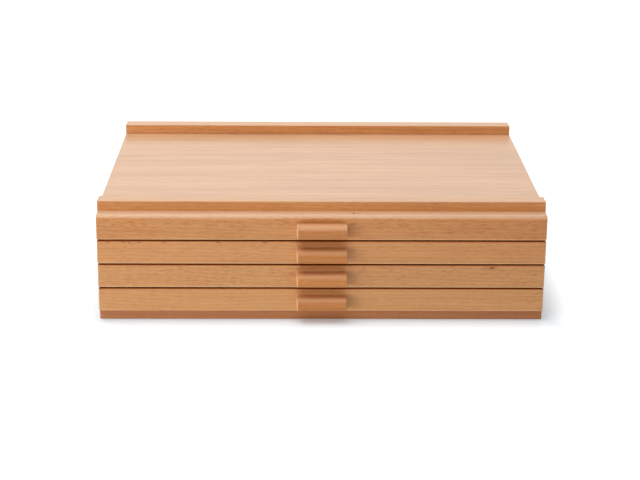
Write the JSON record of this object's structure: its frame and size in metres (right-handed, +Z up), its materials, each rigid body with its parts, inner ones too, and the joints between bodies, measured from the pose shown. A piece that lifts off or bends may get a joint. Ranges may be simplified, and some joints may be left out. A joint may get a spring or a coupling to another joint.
{
  "type": "art supply box",
  "caption": "Low wooden art supply box whose shallow divided drawers with block pulls slide on side runners, under a tray top between a front lip and a rear rail.",
  "frame": {"origin": "middle of the footprint, pulls included, on the plane the base rests on", "axes": "+X along the width to the right as seen from the front, +Y from the drawer fronts to the back, +Z up"},
  "size_m": [0.4, 0.292, 0.1109],
  "materials": {
    "case_beech": "satin lacquered beech",
    "top_veneer": "satin lacquered beech veneer",
    "strip_beech": "satin lacquered beech",
    "front_beech": "satin lacquered beech",
    "pull_beech": "satin lacquered beech",
    "drawer_wood": "sanded bare pale wood",
    "plywood": "sanded thin plywood",
    "runner_wood": "sanded beech",
    "screw_steel": "zinc-plated steel"
  },
  "bodies": {
    "case": {"base_panel": "case_beech", "left_side_panel": "case_beech", "right_side_panel": "case_beech", "back_panel": "plywood", "top_panel": "top_veneer", "front_lip": "strip_beech", "rear_rail": "strip_beech", "left_runners": "runner_wood", "right_runners": "runner_wood", "base_screws": "screw_steel", "back_pins": "screw_steel", "runner_pins": "screw_steel"},
    "drawer_1": {"drawer_1_front": "front_beech", "drawer_1_pull": "pull_beech", "drawer_1_left_wall": "drawer_wood", "drawer_1_right_wall": "drawer_wood", "drawer_1_back_wall": "drawer_wood", "drawer_1_floor": "plywood", "drawer_1_dividers": "drawer_wood", "drawer_1_pull_screws": "screw_steel", "drawer_1_pins": "screw_steel"},
    "drawer_2": {"drawer_2_front": "front_beech", "drawer_2_pull": "pull_beech", "drawer_2_left_wall": "drawer_wood", "drawer_2_right_wall": "drawer_wood", "drawer_2_back_wall": "drawer_wood", "drawer_2_floor": "plywood", "drawer_2_dividers": "drawer_wood", "drawer_2_pull_screws": "screw_steel", "drawer_2_pins": "screw_steel"},
    "drawer_3": {"drawer_3_front": "front_beech", "drawer_3_pull": "pull_beech", "drawer_3_left_wall": "drawer_wood", "drawer_3_right_wall": "drawer_wood", "drawer_3_back_wall": "drawer_wood", "drawer_3_floor": "plywood", "drawer_3_dividers": "drawer_wood", "drawer_3_pull_screws": "screw_steel", "drawer_3_pins": "screw_steel"},
    "drawer_4": {"drawer_4_front": "front_beech", "drawer_4_pull": "pull_beech", "drawer_4_left_wall": "drawer_wood", "drawer_4_right_wall": "drawer_wood", "drawer_4_back_wall": "drawer_wood", "drawer_4_floor": "plywood", "drawer_4_dividers": "drawer_wood", "drawer_4_pull_screws": "screw_steel", "drawer_4_pins": "screw_steel"}
  },
  "joints": [
    {"name": "drawer_1_slide", "type": "slide", "parent": "case", "child": "drawer_1", "axis": [0, -1, 0], "range_m": [0, 0.19]},
    {"name": "drawer_2_slide", "type": "slide", "parent": "case", "child": "drawer_2", "axis": [0, -1, 0], "range_m": [0, 0.19]},
    {"name": "drawer_3_slide", "type": "slide", "parent": "case", "child": "drawer_3", "axis": [0, -1, 0], "range_m": [0, 0.19]},
    {"name": "drawer_4_slide", "type": "slide", "parent": "case", "child": "drawer_4", "axis": [0, -1, 0], "range_m": [0, 0.19]}
  ]
}
